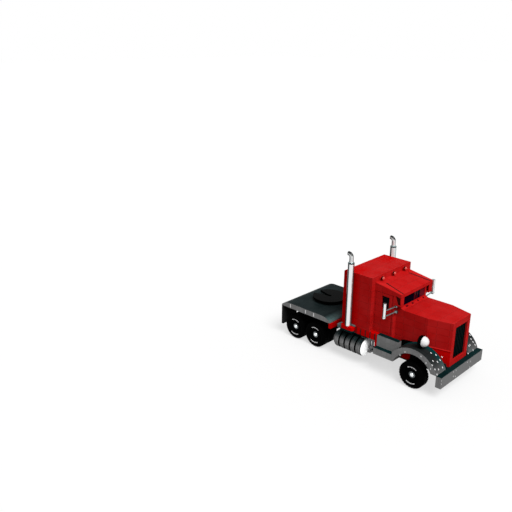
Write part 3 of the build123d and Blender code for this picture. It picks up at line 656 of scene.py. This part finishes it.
def buildTank(side, plan):
    sign = sides[side]
    y, z, back, long = sign * plan["y"], plan["z"], plan["back"], plan["drumLong"]
    half, core, r = plan["gap"] / 2, plan["core"], plan["radius"]
    drum = [(half, core - 0.6), (half, r - 1.2), (half + 0.35, r - 0.35), (half + 1.2, r), (long / 2 - 0.6, r),
            (long / 2 - 0.3, r - 0.25), (long / 2 + 0.3, r - 0.25), (long / 2 + 0.6, r), (long - half - 1.2, r),
            (long - half - 0.35, r - 0.35), (long - half, r - 1.2), (long - half, core - 0.6)]
    bm = bmesh.new()
    for i in range(plan["drums"]):
        lathe(bm, drum, (back + i * long, y, z), (1, 0, 0), 64)
    for i in (0, plan["drums"] - 1):        # arms in to the frame
        start = back + i * long + half
        sideBlocks(bm, sign, [((start, start + plan["armWide"]), (plan["armIn"], plan["y"]),
                               (plan["armLow"], plan["armTop"]))])
    for face in bm.faces:       # the grooves between the drums are black
        middle = face.calc_center_median() / mm
        if math.hypot(middle.y - y, middle.z - z) < r - 0.6:
            face.material_index = 1
    lathe(bm, dishCurve(plan["dish"], plan["dishLong"]), (back, y, z), (-1, 0, 0), 56)
    makePiece("tankDrums_" + side, bm, [greyAbs, blackAbs], "chassis", ["fuel_tank_" + side])
    bm = bmesh.new()
    whole = plan["drums"] * long
    lathe(bm, [(0.2, 0), (0.2, core), (whole - 0.2, core), (whole - 0.2, 0)], (back, y, z), (1, 0, 0), 48)
    makePiece("tankCore_" + side, bm, [blackAbs], "chassis")
    bm = bmesh.new()
    lathe(bm, dishCurve(plan["frontDish"], plan["frontLong"]), (back + whole, y, z), (1, 0, 0), 56)
    makePiece("tankDishes_" + side, bm, [dishChrome], "chassis")


for side in sides:
    buildTank(side, tankPlan)
print("fuel tanks made")


# headlamps

lampPlan = {
    "back": 97.0, "y": 44.0, "z": 68.2, "radius": 8.0, "cup": 6.0, "dome": 7.6, "footHalf": 4.0, "footLow": 57.8,
}


def buildLamp(side, plan):
    y = sides[side] * plan["y"]
    back, z, r, cup = plan["back"], plan["z"], plan["radius"], plan["cup"]
    bm = bmesh.new()
    lathe(bm, [(0, 0), (0.0, r - 2.6), (0.5, r - 1.4), (1.8, r - 0.3), (cup - 1.3, r - 0.1), (cup - 1.1, r),
               (cup - 0.2, r), (cup, r - 0.3), (cup, r - 0.7), (cup - 1.0, r - 0.9), (cup - 1.0, 0)],
          (back, y, z), (1, 0, 0), 56)
    addBlock(bm, (back + 1, back + cup - 1), (y - plan["footHalf"], y + plan["footHalf"]), (plan["footLow"], z - 5.0))
    makePiece("lampCup_" + side, bm, [blackAbs], "chassis", ["headlamp_" + side])
    bm = bmesh.new()
    rim = r - 0.8
    dome = [(-0.9, 0), (-0.9, rim), (0.1, rim)] + domeCurve(0.1, rim, plan["dome"], 8)
    lathe(bm, dome, (back + cup, y, z), (1, 0, 0), 56)
    makePiece("lampDome_" + side, bm, [lampPearl], "chassis")


for side in sides:
    buildLamp(side, lampPlan)
print("headlamps made")


# cab roof, windscreen and the dark sheet of painted shade in the cab

roofPlan = {
    "back": 20.0, "front": 62.0, "backHigh": 127.2, "frontHigh": 120.4,
    "strip": ((20.6, 39.8), (29.6, 29.6), (61.6, 35.9), (61.7, 39.8)),      # outline as (x, distance from the middle)
    "stripHigh": 0.35, "sunk": 0.3,
    "joint": 2.3, "jointHigh": 0.08, "jointGap": 0.05,
}


def roofSlab(bm, sign, outline, high, plan, finish=0):
    # flat piece on the sloped roof, sunk into it a little
    fall, run = plan["backHigh"] - plan["frontHigh"], plan["front"] - plan["back"]
    addPrism(bm, *[[(x, sign * y, plan["backHigh"] - (x - plan["back"]) * fall / run + over) for x, y in outline]
                   for over in (-plan["sunk"], high)], finish)


def buildVisor(plan):
    bm = bmesh.new()
    for sign in sides.values():
        roofSlab(bm, sign, plan["strip"], plan["stripHigh"], plan)
    makePiece("visorStrips", bm, [visorAbs], "chassis")
    bm = bmesh.new()        # dark joint beside each strip, darker on the right
    (x0, y0), (x1, y1) = plan["strip"][1:3]
    wide, gap = plan["joint"], plan["jointGap"]
    for sign in sides.values():
        outline = ((x0, y0 - wide), (x1, y1 - wide), (x1, y1 - gap), (x0, y0 - gap))
        roofSlab(bm, sign, outline, plan["jointHigh"], plan, 0 if sign < 0 else 1)
    makePiece("visorJoints", bm, [darkBrownAbs, maroonAbs], "chassis")


screenPlan = {
    "face": 57.6, "low": 100.0, "top": 114.8, "posts": ((0.0, 4.0), (7.0, 8.6)),
    "cowlBack": 58.0, "cowlTop": 98.0,
    "slots": ((-19.0, 2.0), (-4.6, 1.6), (9.0, 1.2), (23.0, 1.0)),      # (y, half its width)
}


def buildScreenTrim(plan):
    bm = bmesh.new()        # thin posts on the face of the glass
    for low, high in plan["posts"]:
        addBlock(bm, (plan["face"] - 0.3, plan["face"] + 0.2), (low, high), (plan["low"], plan["top"]), edge=0.08)
    makePiece("screenPosts", bm, [maroonAbs], "chassis")
    bm = bmesh.new()        # air slots in the cowl, drawn as maroon blocks whose colour is painted shade in the slots
    back, top = plan["cowlBack"], plan["cowlTop"]
    for y, half in plan["slots"]:
        addBlock(bm, (back + 0.4, back + 2.2), (y - half, y + half), (top - 1.4, top + 0.25), edge=0.15)
    makePiece("cowlSlots", bm, [maroonAbs], "chassis")


shadeLiningPlan = {
    "out": (30.8, 31.4), "back": 20.6, "front": 45.4, "z": (60.0, 117.0),
    "window": ((31.6, 44.6), (92.4, 111.8)),        # spans along and up
    "quarter": ((52.6, 118.6), (57.6, 105.25), (60.95, 105.25), (60.95, 117.6)), "quarterOut": (39.0, 39.6),
    "gasket": ((60.9, 112.0), (60.9, 105.3), (61.9, 105.3)), "gasketOut": (39.5, 40.12),
}


def buildShadeLining(plan):
    # painted shade: dark sheet behind the doors, open behind each window, for the shade inside the cab
    out, z, ((start, end), (sill, head)) = plan["out"], plan["z"], plan["window"]
    blocks = (((plan["back"], start), out, z), ((end, plan["front"]), out, z),
              ((start, end), out, (z[0], sill)), ((start, end), out, (head, z[1])))
    bm = bmesh.new()
    for sign in sides.values():
        sideBlocks(bm, sign, blocks, edge=0)
    makePiece("cabShadeLining", bm, [darkBrownAbs], "chassis")
    bm = bmesh.new()        # panes in the quarter openings, and the dark corner of their gasket, whose dark brown is painted shade for the cab's inside
    for sign in sides.values():
        sideSlab(bm, sign, plan["quarter"], plan["quarterOut"])
        sideSlab(bm, sign, plan["gasket"], plan["gasketOut"])
    makePiece("quarterPanes", bm, [quarterShadeGlass], "chassis")


buildVisor(roofPlan)
buildScreenTrim(screenPlan)
buildShadeLining(shadeLiningPlan)
print("visor, windscreen trim and shade lining made")


# lower corner of the nose

nosePlan = {
    "taper": ((100.0, 32.0), (132.0, 23.0)),        # the nose's side as (x, distance from the middle) at both ends
    "back": 105.0, "well": 124.2, "front": 131.7,
    "low": 33.5, "middle": 38.6, "edge": 56.0, "top": 57.6,
    "sunk": 0.2, "over": 0.12, "lip": 0.9, "lipTop": 0.02,
}


def nosePanel(bm, sign, back, levels, plan, finish=0):
    # thin panel on the tapered side; levels are (height, how far it stands out)
    (x0, y0), (x1, y1) = plan["taper"]
    front, rings = plan["front"], []
    for z, over in levels:
        corners = ((back, -plan["sunk"]), (front, -plan["sunk"]), (front, over), (back, over))
        rings.append([(x, sign * (y0 + (x - x0) * (y1 - y0) / (x1 - x0) + out), z) for x, out in corners])
    addPrism(bm, *rings, finish)


def buildNoseCorner(side, plan):
    sign, over = sides[side], plan["over"]
    low, middle, edge, top = [plan[name] for name in ("low", "middle", "edge", "top")]
    bm = bmesh.new()
    # the panels are in the brighter red copy, painted light
    nosePanel(bm, sign, plan["back"], ((middle, over), (edge, over)), plan)
    nosePanel(bm, sign, plan["well"], ((low, over), (middle, over)), plan)
    nosePanel(bm, sign, plan["back"], ((edge, plan["lip"]), (top, plan["lipTop"])), plan, 1)        # sloping ledge, in the lighter red copy, painted light
    makePiece("noseCorner_" + side, bm, [litRedAbs, visorAbs], "chassis")


for side in sides:
    buildNoseCorner(side, nosePlan)
print("nose corners made")


# marker lights

markerPlan = {"x": 20.0, "z": 131.0, "y": (-28.0, 0.0, 28.0), "radius": 2.6, "long": 6.0}


def buildMarkers(plan):
    bm = bmesh.new()
    r = plan["radius"]
    foot = [(0, 0), (0, r + 0.2), (1.8, r + 0.2), (2.0, r), (2.0, 0)]
    cup = [(1.9, 0), (1.9, r - 0.1), (3.6, r - 0.1), (3.9, r - 0.4), (3.9, 0)]
    lens = [(3.9, r - 0.4), (4.6, r - 0.45)] + domeCurve(4.6, r - 0.45, plan["long"], 15)
    for y in plan["y"]:
        for profile, finish in ((foot, 2), (cup, 0), (lens, 1)):
            lathe(bm, profile, (plan["x"], y, plan["z"]), (1, 0, 0), 32, finish)
    makePiece("markerLamps", bm, [darkBrownAbs, markerLens, redAbs], "chassis", ["marker_lights"])


buildMarkers(markerPlan)
print("marker lights made")


# exhaust stacks

stackPlan = {
    "x": -14.0, "y": 51.8, "radius": 4.6, "top": 149.4, "neck": 3.0, "neckTop": 158.0, "bend": 5.0,
    "tip": 0.5, "bore": 2.2, "boreDeep": 2.6,
}


def buildStack(side, plan):
    x, y, r, neck, bend = plan["x"], sides[side] * plan["y"], plan["radius"], plan["neck"], plan["bend"]
    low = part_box("exhaust_" + side)[0][2] / mm
    long = plan["top"] - low
    bm = bmesh.new()
    tube = [(0, 0), (0, r - 0.5), (0.6, r), (long - 0.5, r), (long, r - 0.4), (long + 0.1, r + 0.1),
            (long + 1.1, r + 0.1), (long + 1.3, r - 0.3), (long + 1.5, neck + 0.3), (long + 1.9, neck),
            (long + 3.0, neck), (long + 3.0, 0)]
    lathe(bm, tube, (x, y, low), (0, 0, 1), 48)
    around = [2 * math.pi * i / 32 for i in range(32)]
    path = [((x, y, plan["top"] + 1.4), (0, 0, 1))]
    for degrees in range(0, 91, 9):
        turn = math.radians(degrees)
        path.append(((x - bend + bend * math.cos(turn), y, plan["neckTop"] + bend * math.sin(turn)),
                     (-math.sin(turn), 0, math.cos(turn))))
    end = (x - bend - plan["tip"], y, plan["neckTop"] + bend)
    path.append((end, (-1, 0, 0)))
    rings = []
    away = Vector((0, 1, 0))
    for spot, along in path:
        across = Vector(along).cross(away)
        rings.append([bm.verts.new((Vector(spot) + (away * math.cos(t) + across * math.sin(t)) * neck) * mm)
                      for t in around])
    bore = plan["bore"]
    for depth in (0.0, plan["boreDeep"]):        # open tip with a real wall
        rings.append([bm.verts.new((Vector(end) + Vector((depth, bore * math.cos(t), -bore * math.sin(t)))) * mm)
                      for t in around])
    joinRings(bm, rings[:-1], 2)
    joinRings(bm, rings[-2:], 1)
    bm.faces.new(rings[0])
    bm.faces.new(rings[-1]).material_index = 1
    tubeChrome = stackChrome if side == "right" else dullChrome
    makePiece("stackTube_" + side, bm, [tubeChrome, blackAbs, neckChrome], "chassis", ["exhaust_" + side])


for side in sides:
    buildStack(side, stackPlan)
print("exhaust stacks made")


# brackets, stack feet and the red parts low on the body

bracketPlan = {             # blocks are spans along, out from the middle and up
    "tankClip": (((17.4, 29.8), (43.4, 46.6), (41.0, 44.6)), ((19.6, 21.8), (43.4, 46.6), (22.5, 41.2)),
                 ((24.6, 26.6), (43.4, 46.6), (33.0, 41.2)), ((19.6, 28.4), (43.4, 46.6), (30.2, 33.2)),
                 ((18.2, 23.2), (43.4, 46.6), (21.6, 24.6))),
    "tankPin": (24.4, 42.0, 26.0),
    "stackClip": (((-34.0, -25.6), (44.0, 51.0), (47.0, 50.2)), ((-28.6, -25.6), (44.0, 51.0), (50.2, 54.0)),
                  ((-12.0, -3.4), (48.05, 50.4), (54.4, 56.8))),
    "stackPins": ((-32.4, 49.0, 44.4), (-28.2, 49.0, 44.4)),
    "skirtBack": (((-3.6, 31.6), (40.4, 47.7), (45.4, 54.2)), ((-34.0, 29.0), (30.0, 44.0), (40.4, 45.6))),
    "shelfEnds": (-21.0, -7.0), "shelfOut": 52.0, "shelfRound": 4.12, "shelfZ": (46.2, 49.2),
    "wellFront": ((123.6, 26.0), (131.6, 26.0), (132.0, 33.0), (129.0, 39.0), (123.6, 39.0)),
    "wellFrontOut": (27.2, 28.8),
    "wellRed": ((63.0, 79.0), (32.05, 34.0), (27.0, 37.0)),
    "wellCorner": ((52.1, 56.5), (52.1, 46.0), (62.6, 46.0), (62.8, 52.4), (67.0, 53.8), (75.0, 55.2), (84.0, 56.0),
                   (90.0, 56.5)),
    "wellCornerOut": (31.6, 32.1),
}


def buildBrackets(side, plan):
    sign = sides[side]
    bm = bmesh.new()
    sideBlocks(bm, sign, plan["tankClip"])
    x, out, z = plan["tankPin"]
    lathe(bm, [(0, 2.6), (4.4, 2.6), (4.8, 2.2), (4.8, 1.2), (3.6, 1.2)], (x, sign * out, z), (0, sign, 0), 24)
    makePiece("tankClip_" + side, bm, [greyAbs], "chassis")
    bm = bmesh.new()        # clip that holds the foot of the stack
    sideBlocks(bm, sign, plan["stackClip"])
    for x, out, z in plan["stackPins"]:
        lathe(bm, [(0, 2.0), (3.4, 2.0), (3.8, 1.6), (3.8, 0)], (x, sign * out, z), (0, 0, 1), 20)
    makePiece("stackClip_" + side, bm, [tealAbs], "chassis")
    bm = bmesh.new()        # dark teal blocks filling the gap behind the skirt's slots, whose colour is painted shade
    sideBlocks(bm, sign, plan["skirtBack"])
    r, middle = plan["shelfRound"], plan["shelfOut"]        # dark plate under the shelf, with the shelf's round ends, in the same painted shade
    outline = []
    for end, turn in zip(plan["shelfEnds"], (1, -1)):
        for degrees in range(0, 181, 15):
            a = math.radians(degrees)
            outline.append((end - turn * r * math.sin(a), sign * (middle + turn * r * math.cos(a))))
    addPrism(bm, *[[(x, y, z) for x, y in outline] for z in plan["shelfZ"]])
    makePiece("skirtBack_" + side, bm, [darkTealAbs], "chassis")
    bm = bmesh.new()        # closes the front of the wheel well beside the hood's nose
    sideSlab(bm, sign, plan["wellFront"], plan["wellFrontOut"])
    makePiece("wellFront_" + side, bm, [darkTealAbs], "chassis")
    bm = bmesh.new()        # red corner low in the wheel well, in the brighter red copy that is painted light for its shade
    sideBlocks(bm, sign, [plan["wellRed"]])
    sideSlab(bm, sign, plan["wellCorner"], plan["wellCornerOut"], 1)
    makePiece("wellCorner_" + side, bm, [litRedAbs, redAbs], "chassis")


for side in sides:
    buildBrackets(side, bracketPlan)
print("brackets made")


# painted glints: pale chips at the open corners between the grey bricks

glintPlan = {
    "size": 1.5, "tall": 2.3, "high": 0.12,
    "front": 140.0, "outside": 56.0,
    "bumper": ((-55.4, 24.8), (-55.4, 30.0), (-25.0, 30.3), (-23.4, 22.9), (-17.6, 20.5), (-18.0, 29.8), (12.8, 30.0),
               (22.0, 27.5), (21.4, 19.4)),
    "arch": (96.0, 19.5, 39.0),        # where the fender's curve is centred, and its radius
    "near": ((43, 55.2), (48.5, 48.8), (33.5, 54.0), (29.7, 47.2), (42.4, 42.1), (54.7, 36.1), (63, 40.9), (42.9, 35.4),
             (28.5, 37.6), (45.5, 28.4), (23.2, 53.6)),         # degrees round the arch, and out from the middle
    "far": ((21.3, 28.4), (16.8, 37.1), (34, 37.1), (34.5, 40.3), (36.1, 50.1), (43.3, 49.4), (51, 53.1), (22.3, 43.1),
            (32.4, 27.7), (28.7, 51.7)),
    "fenderSide": ((116.1, 46.3), (108.1, 52.7), (84.2, 50.2), (77.1, 42.9), (123.3, 40.4)),
    "deck": (-122.0, -91.0, -75.0), "deckHigh": 52.0, "deckChip": (1.9, 5.6),
}


def addChip(bm, origin, out, wide, tall, high):
    # small flat chip that faces out from where it lies
    place = axisFrame(origin, out)
    for vert in bmesh.ops.create_cube(bm, size=1.0)["verts"]:
        vert.co = place @ Vector((vert.co.x * wide * mm, vert.co.y * tall * mm, vert.co.z * high * mm))


def buildCornerGlints(plan):
    bm = bmesh.new()
    size, tall, high, outside = plan["size"], plan["tall"], plan["high"], plan["outside"]
    for y, z in plan["bumper"]:
        addChip(bm, (plan["front"] - high / 2, y, z), (1, 0, 0), size, tall, high)
    middle, level, radius = plan["arch"]
    for sign, spots in ((-1, plan["near"]), (1, plan["far"])):
        for angle, y in spots:
            out = Vector((math.cos(math.radians(angle)), 0, math.sin(math.radians(angle))))
            addChip(bm, Vector((middle, sign * y, level)) + out * radius, out, size, tall, high * 2)
        for x, z in plan["fenderSide"]:
            addChip(bm, (x, sign * outside, z), (0, sign, 0), size, tall, high)
        for x in plan["deck"]:
            addChip(bm, (x, sign * outside, plan["deckHigh"]), (0, sign, 0), *plan["deckChip"], high)
    makePiece("cornerGaps", bm, [paintedGlintAbs], "chassis")


buildCornerGlints(glintPlan)
print("corner gaps made")
